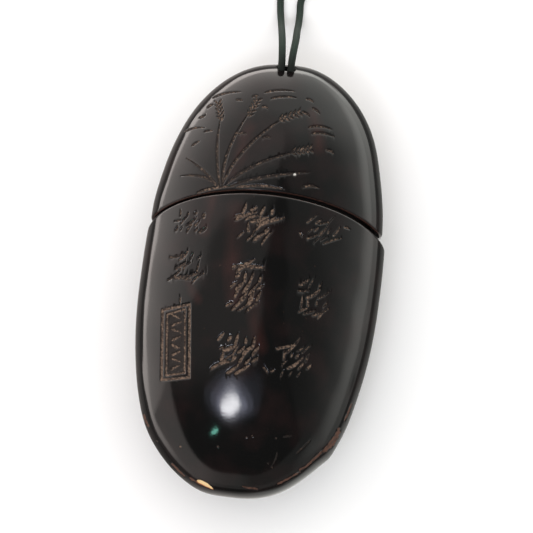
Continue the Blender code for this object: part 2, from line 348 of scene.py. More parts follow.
def nearness(places, strokes, margin=0.0):
    """How far inside a stroke each place is, from 0 at its edge to 1 on its line, and which."""
    best = np.full(len(places), -1.0)
    which = np.full(len(places), -1)
    for number, stroke in enumerate(strokes):
        spare = stroke.half_width + margin
        low = stroke.places.min(axis=0) - spare
        high = stroke.places.max(axis=0) + spare
        near = np.flatnonzero(((places >= low) & (places <= high)).all(axis=1))
        away = np.linalg.norm(places[near][:, None, :] - stroke.places[None, :, :], axis=2)
        inside = (1 - away / (stroke.widths[None, :] + margin)).max(axis=1)
        better = inside > best[near]
        best[near[better]] = inside[better]
        which[near[better]] = number
    return best, which


def turned(centre, across, up):
    """The pixel at a distance in pixels from a mark's centre, along the leaning case."""
    right = (math.cos(CASE_LEAN), math.sin(CASE_LEAN))
    return (
        centre[0] + across * right[0] + up * right[1],
        centre[1] + across * right[1] - up * right[0],
    )


# Each mark's middle, width and height in pixels, its cuts' half width in mm, how full they are
MARKS = (
    (256, 223, 40, 38, 0.34, 0.64),
    (246, 286, 38, 48, 0.34, 0.68),
    (237, 354, 46, 38, 0.36, 0.74),
    (323, 230, 33, 26, 0.26, 0.38),
    (314, 298, 33, 38, 0.29, 0.42),
    (297, 361, 34, 36, 0.31, 0.5),
    (190, 221, 34, 24, 0.29, 0.34),
    (186, 266, 37, 31, 0.3, 0.44),
)
ROW_SLANTS = (58, 30, 72, 44)
ROW_PITCH_PX = 9.4
STROKE_PITCH_PX = 7.6
MARK_DEPTH = 0.22  # in mm

# How much the marks' strokes vary: shares of the usual, pixels either way, or radians
ROW_WIDTHS = (0.68, 1.0)
ROW_COUNTS = (0.8, 1.2)
STROKE_LENGTHS = (0.45, 1.35)
STROKE_WIDTHS = (0.5, 1.5)
STROKE_FILLS = (0.7, 1.1)
DRIFT_PX = 1.0
LIFT_PX = 1.4
TILT = 0.45
BOW = 0.2
LEAST_SLANT = 0.45  # as a sine


def mark_strokes():
    """Rows of short tapered strokes in each mark's place, each row with its own slant."""
    chance = np.random.default_rng(23)
    strokes = []
    for number, (*centre, wide, high, half_width, full) in enumerate(MARKS):
        rows = max(2, round(high / ROW_PITCH_PX))
        for row in range(rows):
            up = high * (0.5 - (row + 0.5) / rows)
            slant = math.radians(ROW_SLANTS[(number + row) % len(ROW_SLANTS)])
            row_wide = wide * chance.uniform(*ROW_WIDTHS)
            shift = chance.uniform(-0.5, 0.5) * (wide - row_wide)
            count = max(2, round(row_wide / STROKE_PITCH_PX * chance.uniform(*ROW_COUNTS)))
            for place in range(count):
                across = shift + row_wide * ((place + 0.5) / count - 0.5)
                across += chance.uniform(-DRIFT_PX, DRIFT_PX)
                length = high / rows / max(LEAST_SLANT, abs(math.sin(slant)))
                length *= chance.uniform(*STROKE_LENGTHS)
                tilt = slant + chance.uniform(-TILT, TILT)
                run, rise = math.cos(tilt), math.sin(tilt)
                lift = up + chance.uniform(-LIFT_PX, LIFT_PX)
                bow = chance.uniform(-BOW, BOW) * length
                pixels = [
                    turned(centre, across + run * on - rise * off, lift + rise * on + run * off)
                    for on, off in ((-length / 2, 0), (0, bow), (length / 2, 0))
                ]
                cut = half_width * chance.uniform(*STROKE_WIDTHS)
                fill = full * chance.uniform(*STROKE_FILLS)
                strokes.append(Stroke(pixels, cut, MARK_DEPTH, fill))
    return strokes


FRAME_CORNERS_PX = ((162.5, 310), (189.5, 304.5), (189, 377.5), (161.5, 380))
FRAME_LINES = ((0.0, 0.3), (4.6, 0.2))  # each one's inset in pixels and half width in mm
FRAME_DEPTH = 0.2  # in mm
FRAME_FILL = 0.84
FRAME_MARGIN_PX = 8.5  # from the frame's corners to the ticks in its field
FRAME_TICKS = 8
TICK_SLOPE_PX = 2.2
TICK_ENDS_PX = (-0.5, 1.5)
TICK_BOW_PX = 2

# Cuts of each kind: half width and depth in mm, share of filling, and whether blunt
FIELD_TICK = (0.32, 0.2, 0.56)
SMALL_TICK = (0.22, 0.18, 0.5)
SCRATCH = (0.2, 0.05, 0.1)
REED = (0.36, 0.14, 0.27)
SEED = (0.28, 0.16, 0.36)
WATER_LINE = (0.27, 0.14, 0.31)
LOOSE_SEED = (0.32, 0.12, 0.29)
BANK_LINE = (0.34, 0.15, 0.38)
PIT = (0.17, 0.08, 0.5, True)


def frame_strokes():
    """The upright frame at the left: two nested lines round a field of short ticks."""
    strokes = []
    corners = np.array(FRAME_CORNERS_PX, float)
    middle = corners.mean(axis=0)
    for inset, width in FRAME_LINES:
        inner = corners - np.sign(corners - middle) * inset
        for near, far in zip(inner, np.roll(inner, -1, axis=0)):
            line = (near, (near + far) / 2, far)
            strokes.append(Stroke(line, width, FRAME_DEPTH, FRAME_FILL, blunt=True))
    chance = np.random.default_rng(5)
    low = corners.min(axis=0) + FRAME_MARGIN_PX
    high = corners.max(axis=0) - FRAME_MARGIN_PX
    for tick in range(FRAME_TICKS):
        height = low[1] + (high[1] - low[1]) * (tick + 0.5) / FRAME_TICKS
        slope = TICK_SLOPE_PX if tick % 2 else -TICK_SLOPE_PX
        start = (low[0] + chance.uniform(*TICK_ENDS_PX), height + slope)
        finish = (high[0] - chance.uniform(*TICK_ENDS_PX), height - slope)
        bend = ((start[0] + finish[0]) / 2, height + chance.uniform(-TICK_BOW_PX, TICK_BOW_PX))
        strokes.append(Stroke((start, bend, finish), *FIELD_TICK))
    return strokes


# Lines, each by the pixels where it starts, bends towards and ends. Stray cuts beside the marks:
SMALL_TICKS_PX = (
    (263, 367, 266, 370, 268, 374), (270, 371, 273, 372, 275, 369), (180, 297, 180.5, 300, 180, 304),
    (299, 232, 301, 234, 303, 238), (344, 227, 348, 228, 351, 230),
)

SCRATCHES_PX = (
    (277, 452, 277, 458, 272, 466), (296, 454, 304, 447, 312, 439), (283, 437, 288, 436, 293, 436),
)

# The cap's motif: a clump of reeds blown to the right, on a low bank by the water
REED_BLADES_PX = (
    (222, 186, 222, 150, 250, 112), (222, 186, 236, 148, 284, 118), (220, 186, 214, 150, 221, 116),
    (219, 187, 200, 165, 186, 158), (224, 186, 250, 162, 296, 152), (226, 187, 262, 174, 312, 172),
    (218, 187, 206, 172, 180, 176),
)
# Each seed head's place and length, and the angle that it points at, in degrees
SEED_HEADS_PX = (
    (250, 114, 17, 62),
    (282, 119, 19, 20),
    (221, 118, 16, 100),
    (294, 152, 17, 10),
)
SEED_PAIRS = 5
SEED_START = -0.15  # from a head's place, as a share of its length
SEED_REACH_PX = (5.0, 4.2)  # of a seed's tip, along the head and to its side
WATER_LINES_PX = (
    (264, 93, 280, 88, 298, 92), (270, 99, 284, 95, 298, 98), (212, 98, 226, 91, 242, 92),
    (308, 128, 320, 124, 333, 130), (311, 134, 322, 131, 335, 137), (184, 132, 194, 126, 206, 128),
)
LOOSE_SEEDS_PX = (
    (207, 108, 210, 105, 214, 104), (199, 118, 203, 117, 206, 114), (236, 100, 240, 99, 243, 101),
    (252, 97, 256, 95, 259, 96), (306, 99, 311, 99, 314, 103), (326, 150, 331, 150, 334, 154),
    (262, 107, 266, 106, 268, 109), (302, 112, 307, 113, 310, 117), (312, 108, 317, 110, 320, 114),
    (204, 132, 208, 130, 213, 131), (192, 146, 196, 142, 200, 141), (238, 134, 243, 132, 247, 134),
    (262, 138, 267, 136, 271, 138),
)
BANK_LINES_PX = (
    (196, 193, 214, 186, 236, 186), (236, 187, 262, 183, 284, 189), (302, 187, 311, 184, 319, 188),
)
PITS_PX = (
    (217.5, 446.5), (246, 437), (252, 436), (275.5, 438), (268, 463.5),
    (271.5, 467), (156.5, 441), (180, 446.5), (305, 186),
)
PIT_RUN_PX = (0.7, 0.4)


def seed_lines():
    """Pairs of short slanting seeds along each head."""
    lines = []
    for *head, length, angle in SEED_HEADS_PX:
        way = np.array((math.cos(math.radians(angle)), -math.sin(math.radians(angle))))
        across = np.array((-way[1], way[0]))
        for seed in range(SEED_PAIRS):
            at = np.array(head) + way * length * (seed / (SEED_PAIRS - 1) + SEED_START)
            for side in (-1, 1):
                tip = at + way * SEED_REACH_PX[0] + across * side * SEED_REACH_PX[1]
                lines.append((at, (at + tip) / 2 + way, tip))
    return lines


# The rough field inside the frame lies along an upright line
PANEL_REACH_PX = 22
PANEL_HALF_WIDTH = 2.4  # in mm
frame_middle = np.mean(FRAME_CORNERS_PX, axis=0)
panel_line = [(frame_middle[0], frame_middle[1] + PANEL_REACH_PX * way) for way in (-1, 0, 1)]
panel_lines = patches([(*panel_line, PANEL_HALF_WIDTH)])
carving = mark_strokes() + frame_strokes()
for lines, cut in (
    (REED_BLADES_PX, REED),
    (seed_lines(), SEED),
    (WATER_LINES_PX, WATER_LINE),
    (LOOSE_SEEDS_PX, LOOSE_SEED),
    (BANK_LINES_PX, BANK_LINE),
    ([(pit, pit, pit + PIT_RUN_PX) for pit in np.array(PITS_PX)], PIT),
    (SMALL_TICKS_PX, SMALL_TICK),
    (SCRATCHES_PX, SCRATCH),
):
    carving += [Stroke(line, *cut) for line in lines]
settle_all(carving)

# Where the lacquer is rubbed down to the red ground and the wood, with half widths in mm
WORN_PX = (
    (339, 430, 337, 437, 331, 446, 0.55), (334, 439, 330, 446, 324, 451, 0.5),
    (352, 404, 349, 412, 345, 420, 0.15), (328, 446, 320, 454, 313, 460, 0.2),
    (313, 460, 308, 466, 300, 470, 0.17), (300, 472, 290, 478, 278, 484, 0.13),
    (243, 487, 250, 488, 257, 489, 0.14), (190, 478, 196, 482, 201, 485, 0.12),
    (172, 464, 178, 470, 184, 476, 0.12), (144, 415, 145, 420, 148, 426, 0.22),
)
worn_lines = patches(WORN_PX)

# A chip at the foot, down to the pale wood, and a small nick on the cap, painted pale grey as a
# painted glint
CHIP_PX = (197, 481, 204, 483, 213, 489.5)
CHIP_HALF_WIDTH = 0.45  # in mm
# the nick is a real small pit, but its pale grey colour is a painted glint
NICK_AND_GLINT_PX = (294.6, 174, 294.8, 174, 295.2, 174, 0.34)
chip_lines = settle_all([Stroke(CHIP_PX, CHIP_HALF_WIDTH)])
nick_lines = patches([NICK_AND_GLINT_PX])

# Where the red ground shows through thin black lacquer, with half widths in mm
THIN_PX = (
    (314, 112, 316, 128, 320, 150, 1.7), (236, 206, 230, 250, 234, 300, 2.2),
    (254, 300, 252, 326, 262, 348, 1.5), (250, 128, 240, 150, 232, 172, 1.6),
    (212, 196, 208, 214, 206, 232, 1.2), (187, 282, 192, 292, 198, 300, 0.8),
)
thin_lines = patches(THIN_PX)


# Edit-mode modelling

def pick(piece):
    bpy.ops.object.select_all(action="DESELECT")
    piece.select_set(True)
    bpy.context.view_layer.objects.active = piece


def begin(piece, mode="VERT", action=None):
    """Opens a piece in edit mode, with what was selected there, or all or none of it."""
    pick(piece)
    bpy.ops.object.mode_set(mode="EDIT")
    bpy.ops.mesh.select_mode(type=mode)
    if action:
        bpy.ops.mesh.select_all(action=action)


def end():
    bpy.ops.object.mode_set(mode="OBJECT")


def read(items, field, width=1):
    """One field of all of a mesh's vertices or faces, as an array."""
    values = np.empty(width * len(items))
    items.foreach_get(field, values)
    return values.reshape(-1, width) if width > 1 else values


def move_to(piece, places):
    piece.data.vertices.foreach_set("co", places.ravel())
    piece.data.update()


GRID_CELLS = 160
DOME_RINGS = 66
BAND_RINGS = GRID_CELLS // 2 - DOME_RINGS
RIM_SHARE = 0.05  # of the band's width that the last strip, along the outline, takes up
BAND_CROWDING = 1.6  # above 1, the band's strips narrow towards the outline
SHEET_DROP = 2.0  # of the back's grid under the front's, before both are shaped
FINE_CUTS = 2
FINE_MARGIN = 0.3 * MM
SWAY_SIDE = (-0.2, 0.7)  # where the crest starts to stand further in, as cosines
UNTRUE_FADE = 8  # how fast an untrue outline fades out inwards

# Where the outline isn't true: degrees round the case from its right side, spread, millimetres
UNTRUE = (
    (-57, 10, 0.7), (-61, 3, 0.35), (-90, 34, -0.95), (-123, 13, 0.44), (170, 40, -0.17),
    (75, 25, 0.2), (84, 7, 0.3), (60, 12, 0.25), (45, 11, -0.35), (107, 9, -0.25),
    (52, 8, -0.25), (150, 8, 0.2), (-98, 5, 0.28), (-120, 6, 0.2), (-68, 8, -0.15),
)

# Slow waves of the face: their lengths across and along in mm, where they start, their share
WAVES = ((13.1, 31.0, 1.3, 1.0), (-22.0, 17.3, 0.4, 1.0), (7.9, 11.2, 2.1, 0.6))
WAVE_HEIGHT = 0.02 * MM


def unevenness(x, y):
    """The slow rise and fall left by the hand that shaped and rubbed the case."""
    turn = 2 * math.pi / MM
    return WAVE_HEIGHT * sum(
        share * np.sin(turn * (x / across + y / along) + start)
        for across, along, start, share in WAVES
    )


def plan_of(flat):
    """Level and plan place of places on the square grid, whose square loops become ovals."""
    a, b = flat[:, 0], flat[:, 1]
    ring = np.maximum(np.abs(a), np.abs(b))
    tall = np.abs(b) > np.abs(a)
    under = np.where(tall, b, a)
    under = np.where(under == 0, 1.0, under)
    slope = np.where(tall, -a, b) / under
    start = np.where(tall, np.where(b > 0, math.pi / 2, -math.pi / 2), np.where(a < 0, math.pi, 0))
    around = start + slope * math.pi / 4
    ring = ring * (DOME_RINGS + BAND_RINGS)
    left = np.clip(1 - (ring - DOME_RINGS) / BAND_RINGS, 0, 1)
    left = RIM_SHARE + (1 - RIM_SHARE) * left**BAND_CROWDING
    crest = CREST_LEVEL - CREST_SWAY * smooth_between(np.cos(around), *SWAY_SIDE)
    level = np.where(ring <= DOME_RINGS, crest * ring / DOME_RINGS, 1 - (1 - crest) * left)
    wide = np.copysign(np.abs(np.cos(around)) ** (2 / OUTLINE_POWER), np.cos(around))
    long = np.copysign(np.abs(np.sin(around)) ** (2 / OUTLINE_POWER), np.sin(around))
    x = HALF_WIDTH * level * wide
    y = HALF_LENGTH * end_share(level) * long
    turn = np.degrees(np.arctan2(y, x))
    swell = np.zeros(len(x))
    for angle, spread, height in UNTRUE:
        away = (turn - angle + 180) % 360 - 180
        swell += height * MM * np.exp(-((away / spread) ** 2))
    swell *= level**UNTRUE_FADE
    size = np.maximum(np.hypot(x, y), 1e-9)
    on_band = 1 - (1 - CREST_LEVEL) * (1 - level) / (1 - crest)
    level = np.where(level <= crest, CREST_LEVEL * level / crest, on_band)
    return level, x * (1 + swell / size), y * (1 + swell / size)


def cap_inset(x, y, step):
    """How far the cap's skin stands in, beside the seam and fading out above it."""
    above = np.maximum(0, y - seam_height(x))
    lean = 1 + CAP_STEP_LEAN * x / HALF_WIDTH
    return step * lean * np.maximum(0, 1 - above / CAP_STEP_FADE) ** 2


def raw_case(name, step, strokes):
    """The whole case's skin from a square grid, finer where the carving is."""
    bpy.ops.object.select_all(action="DESELECT")
    bpy.ops.mesh.primitive_grid_add(x_subdivisions=GRID_CELLS, y_subdivisions=GRID_CELLS, size=2)
    piece = bpy.context.object
    piece.name = piece.data.name = name
    centres = read(piece.data.polygons, "center", 3)
    _, x, y = plan_of(centres)
    spots = worn_lines + chip_lines + nick_lines
    inside, _ = nearness(np.stack([x, y], axis=1), strokes + spots, FINE_MARGIN)
    begin(piece, "FACE", "DESELECT")
    end()
    piece.data.polygons.foreach_set("select", inside > 0)
    begin(piece, "FACE")
    bpy.ops.mesh.subdivide(number_cuts=FINE_CUTS)
    bpy.ops.mesh.select_all(action="SELECT")
    bpy.ops.mesh.extrude_region_move(TRANSFORM_OT_translate={"value": (0, 0, -SHEET_DROP)})
    bpy.ops.mesh.select_all(action="SELECT")
    bpy.ops.mesh.flip_normals()
    end()
    flat = read(piece.data.vertices, "co", 3)
    level, x, y = plan_of(flat)
    inset = cap_inset(x, y, step)
    rise = dome_height(level) * (1 - inset / DOME_HEIGHT) + unevenness(x, y) * (level < CREST_LEVEL)
    z = np.maximum(0, MIDDLE_HEIGHT + np.where(flat[:, 2] > -SHEET_DROP / 2, rise, -rise))
    move_to(piece, np.stack([x * (1 - inset / HALF_WIDTH), y, z], axis=1))
    keep(piece, outside=np.ones(len(z)))
    return piece


def straighten(piece, gap, back=False):
    """Slides the skin along the case so that the seam is level, or back again."""
    places = read(piece.data.vertices, "co", 3)
    places[:, 1] += (1 if back else -1) * seam_height(places[:, 0], gap)
    move_to(piece, places)


CUT_THRESHOLD = 1e-8
LIP_ROWS = (0.04, 0.12, 0.24, 0.4, 0.6, 0.85, 1.2)  # in mm, from the cut


def cut_at_seam(piece, gap, keep_below):
    """Cuts the skin at the seam and adds rows of edges beside the cut."""
    straighten(piece, gap)
    side = -1 if keep_below else 1
    for row in (0.0, *LIP_ROWS):
        begin(piece, action="SELECT")
        bpy.ops.mesh.bisect(
            plane_co=(0, side * row * MM, 0),
            plane_no=(0, 1, 0),
            clear_outer=keep_below and not row,
            clear_inner=not keep_below and not row,
            threshold=CUT_THRESHOLD,
        )
        end()
    straighten(piece, gap, back=True)


FRONT_LIP = 0.32 * MM
SIDE_LIP = 0.6 * MM
LIP_GATHER = 7  # how closely the rounder lip keeps to the sides


def round_lip(piece, gap):
    """Eases the skin over towards the seam, more at the sides."""
    places = read(piece.data.vertices, "co", 3)
    away = np.abs(places[:, 1] - seam_height(places[:, 0], gap))
    radius = FRONT_LIP + SIDE_LIP * np.abs(places[:, 0] / HALF_WIDTH) ** LIP_GATHER
    short = np.clip(radius - away, 0, None)
    depth = radius - np.sqrt(radius**2 - short**2)
    move_to(piece, places - read(piece.data.vertices, "normal", 3) * depth[:, None])


def collar_size(inward):
    """Half width and half height at the collar, in from the cap's wall by a distance."""
    return [size - inward for size in size_at(COLLAR_TOP, CAP_WALL)]


def end_stations(wall, near):
    """Places along the middle line from near to the end of the form inside a wall."""
    reach = HALF_LENGTH - wall
    last = math.acos(near / reach)
    steps = range(HOLLOW_STEPS + 1)
    return [reach * math.cos(last + (TIP_ANGLE - last) * s / HOLLOW_STEPS) for s in steps]


def body_rings():
    """The body's inside, ring by ring: its ledge, collar, bore, shoulder and hollow."""
    outer = collar_size(COLLAR_CLEARANCE)
    eased = collar_size(COLLAR_CLEARANCE + COLLAR_CHAMFER)
    narrow = collar_size(COLLAR_CLEARANCE + COLLAR_WALL)
    start = SHOULDER_TOP - SHOULDER_LENGTH
    wide = size_at(start, BODY_WALL)
    rings = [
        (None, outer),
        (COLLAR_TOP - COLLAR_CHAMFER, outer),
        (COLLAR_TOP, eased),
        (COLLAR_TOP, narrow),
        (SHOULDER_TOP, narrow),
    ]
    for share in (0.8, 0.6, 0.4, 0.2):
        ease = float(smooth_between(share, 0, 1))
        size = [big + (small - big) * ease for big, small in zip(wide, narrow)]
        rings.append((start + SHOULDER_LENGTH * share, size))
    return rings + [(-y, size_at(y, BODY_WALL)) for y in end_stations(BODY_WALL, -start)]


def cap_rings():
    """The cap's inside, ring by ring: its ledge, the collar's socket and the hollow."""
    inside = [(y, size_at(y, CAP_WALL)) for y in end_stations(CAP_WALL, COLLAR_TOP)]
    return [(None, collar_size(0.0)), *inside]


def hollow_out(piece, rings, gap):
    """Extrudes the open edge through the rings of the inside and closes it at the last."""
    before = (HALF_WIDTH, DOME_HEIGHT)
    for y, size in rings:
        begin(piece, action="DESELECT")
        bpy.ops.mesh.select_non_manifold()
        bpy.ops.mesh.extrude_region_move()
        end()
        picked = read(piece.data.vertices, "select") > 0
        places = read(piece.data.vertices, "co", 3)
        x, z = places[picked, 0], places[picked, 2] - MIDDLE_HEIGHT
        angle = np.arctan2(z / before[1], x / before[0])
        places[picked, 0] = size[0] * np.cos(angle)
        places[picked, 1] = seam_height(places[picked, 0], gap) if y is None else y
        places[picked, 2] = MIDDLE_HEIGHT + size[1] * np.sin(angle)
        move_to(piece, places)
        outside = read(piece.data.attributes["outside"].data, "value")
        keep(piece, outside=np.where(picked, 0.0, outside))
        before = size
    begin(piece)
    bpy.ops.mesh.merge(type="CENTER")
    end()


CORD_SPACING = 1.95 * MM
CORD_HOLE_OFFSET = -0.7 * MM
CORD_HOLE_PLACE = 43.75 * MM
CORD_HOLE_SLANT = math.radians(45)
CORD_HOLE_REACH = (-3.4 * MM, 5.0 * MM)
CORD_CLEARANCE = 0.17 * MM


def drill_cord_hole(piece):
    """Cuts the oval hole for the cord's two strands, slanting out through the crest."""
    bpy.ops.object.select_all(action="DESELECT")
    bpy.ops.mesh.primitive_cylinder_add(
        radius=CORD_DIAMETER / 2 + CORD_CLEARANCE,
        depth=CORD_HOLE_REACH[1] - CORD_HOLE_REACH[0],
    )
    drill = bpy.context.object
    for vertex in drill.data.vertices:
        vertex.co.x += CORD_SPACING / 2 if vertex.co.x > 0 else -CORD_SPACING / 2
        vertex.co.z += (CORD_HOLE_REACH[0] + CORD_HOLE_REACH[1]) / 2
    mouth = Vector((CORD_HOLE_OFFSET, CORD_HOLE_PLACE, MIDDLE_HEIGHT + CREST_HEIGHT))
    lean = Matrix.Rotation(CORD_HOLE_SLANT - math.pi / 2, 4, "X")
    drill.data.transform(Matrix.Translation(mouth) @ lean)
    cut = piece.modifiers.new("cord_hole", "BOOLEAN")
    cut.operation = "DIFFERENCE"
    cut.solver = "MANIFOLD"
    cut.object = drill
    pick(piece)
    bpy.ops.object.modifier_apply(modifier=cut.name)
    bpy.data.objects.remove(drill)


FRONT_RISE = 1.0 * MM  # of the front above the middle plane, at the least
FRONT_FACING = 0.05  # and how far it faces up
CUT_WALLS = 0.6  # share of a cut that its sloping walls take up
FILL_EDGE = (0.06, 0.45)  # shares of it where the filling starts and is full
LIP_WEAR = 0.3 * MM
WEAR_FADE = 0.16 * MM
WEAR_GAIN = 1.6
WEAR_DEPTH = 0.12 * MM
WEAR_GRAIN = 0.9 * MM
WEAR_LEAST = 0.4
CHIP_DEPTH = 0.25 * MM
CHIP_WALLS = 0.5
THIN_FADE = 1.2 * MM
PANEL_CUT = 0.3  # how rough the field inside the frame is
PANEL_DEPTH = 0.14 * MM
PANEL_WALLS = (0.3, 0.42)
PANEL_EDGE = 0.15


def finish_skin(piece, strokes, gap):
    """Sinks the carving, wears the edges, and keeps what the finish needs on the points."""
    mesh = piece.data
    places = read(mesh.vertices, "co", 3)
    normals = read(mesh.vertices, "normal", 3)
    outside = read(mesh.attributes["outside"].data, "value")
    plan = places[:, :2]
    front = outside * (places[:, 2] > MIDDLE_HEIGHT + FRONT_RISE) * (normals[:, 2] > FRONT_FACING)

    def marked(lines, margin=0.0, gain=1.0):
        return np.clip(gain * nearness(plan, lines, margin)[0], 0, 1) * front

    inside, which = nearness(plan, strokes)
    inside = np.clip(inside, 0, 1) * front
    depths, fills = np.array([(stroke.depth, stroke.fill) for stroke in strokes] + [(0, 0)]).T
    sink = depths[which] * smooth_between(inside, 0, CUT_WALLS)
    away = np.abs(places[:, 1] - seam_height(places[:, 0], gap))
    worn = marked(worn_lines, WEAR_FADE, WEAR_GAIN)
    grain = np.array([noise.noise(Vector(place) / WEAR_GRAIN) for place in places])
    sink += worn * WEAR_DEPTH * np.clip(grain + WEAR_LEAST, 0, 1)
    chip = marked(chip_lines)
    # the nick is sunk here; the finish paints it pale as a painted glint
    nick = marked(nick_lines)
    sink += CHIP_DEPTH * smooth_between(np.maximum(chip, nick), 0, CHIP_WALLS)
    panel = nearness(plan, panel_lines)[0]
    sink += PANEL_DEPTH * smooth_between(panel, *PANEL_WALLS) * front
    panel = smooth_between(panel, 0, PANEL_EDGE) * front
    keep(
        piece,
        cut=np.maximum(inside, PANEL_CUT * panel),
        fill=fills[which] * smooth_between(inside, *FILL_EDGE),
        lip=np.clip(1 - away / LIP_WEAR, 0, 1) * outside,
        worn=worn,
        chip=chip,
        nick=nick,
        thin=marked(thin_lines, THIN_FADE),
    )
    move_to(piece, places - normals * sink[:, None])


SHARP_ANGLE = math.radians(60)


def make_case_part(name, node, gap, keep_below, rings, step):
    """The body or the cap: cut from the case's skin, hollowed, carved and worn."""
    strokes = [
        stroke
        for stroke in carving
        if (stroke.places[:, 1].mean() < seam_height(stroke.places[:, 0]).mean()) == keep_below
    ]
    piece = raw_case(name, step, strokes)
    cut_at_seam(piece, gap, keep_below)
    round_lip(piece, gap)
    hollow_out(piece, rings, gap)
    if not keep_below:
        drill_cord_hole(piece)
    finish_skin(piece, strokes, gap)
    pick(piece)
    bpy.ops.object.shade_smooth_by_angle(angle=SHARP_ANGLE)
    piece.data.materials.clear()
    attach(piece, "root")
    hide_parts(node)
    return piece


body = make_case_part("case_body", "body", SEAM_GAP, True, body_rings(), 0.0)
cap = make_case_part("case_cap", "cap", 0.0, False, cap_rings(), CAP_STEP)


# Materials

def srgb(code):
    """Linear colour of an sRGB hex code."""
    parts = [int(code[i : i + 2], 16) / 255 for i in (1, 3, 5)]
    return (*(c / 12.92 if c <= 0.04045 else ((c + 0.055) / 1.055) ** 2.4 for c in parts), 1.0)


def join(node, inputs):
    """Links an input that is given as a node, by its output in use, or as a socket, and sets any
    other to its value."""
    for name, value in inputs.items():
        if isinstance(value, bpy.types.Node):
            value = next(socket for socket in value.outputs if socket.enabled)
        if isinstance(value, bpy.types.NodeSocket):
            node.id_data.links.new(value, node.inputs[name])
        else:
            node.inputs[name].default_value = value


def add_node(tree, kind, inputs=None, **settings):
    """Adds a node with its settings and joins its inputs."""
    node = tree.nodes.new(kind)
    for name, value in settings.items():
        setattr(node, name, value)
    join(node, inputs or {})
    return node


MATH = "ShaderNodeMath"
RANGE = "ShaderNodeMapRange"
MIX = "ShaderNodeMix"
NOISE = "ShaderNodeTexNoise"
FROM, TO = "From Min", "From Max"
COLOURS = {"data_type": "RGBA"}  # a mix of colours, and its inputs
SHARE, UNDER, OVER = 0, 6, 7


def new_material(name):
    """A material, its shader and what adds a node to it."""
    material = bpy.data.materials.new(name)
    material.use_nodes = True
    tree = material.node_tree
    return material, tree.nodes["Principled BSDF"], partial(add_node, tree)


# The patterns' sizes. Filling crumbles to about 0.1 mm, the scratches of rubbing are finer still
# and silk's fibres are about 0.01 mm thick, so all three are drawn coarser, at 2 or 3 pixels.
CRUMB = 0.3846 * MM
RUBBED = 0.6667 * MM
FIBRE = 0.3846 * MM
STREAK = 3.03 * MM
STREAK_STRETCH = 0.45  # along the wood's grain
CLOUD = 6.25 * MM

# How each kind of place shows: a pattern's weight against the place's own number, and where
# their sum starts and ends to show
CUT_SHOWS = (0.5, 0.38, 0.5)
FILLING_HOLDS = (1.2, 0.85, 1.15)
WORN_SHOWS = (2.2, 1.6, 2.0)
LIP_SHOWS = (0.9, 0.75, 1.35)


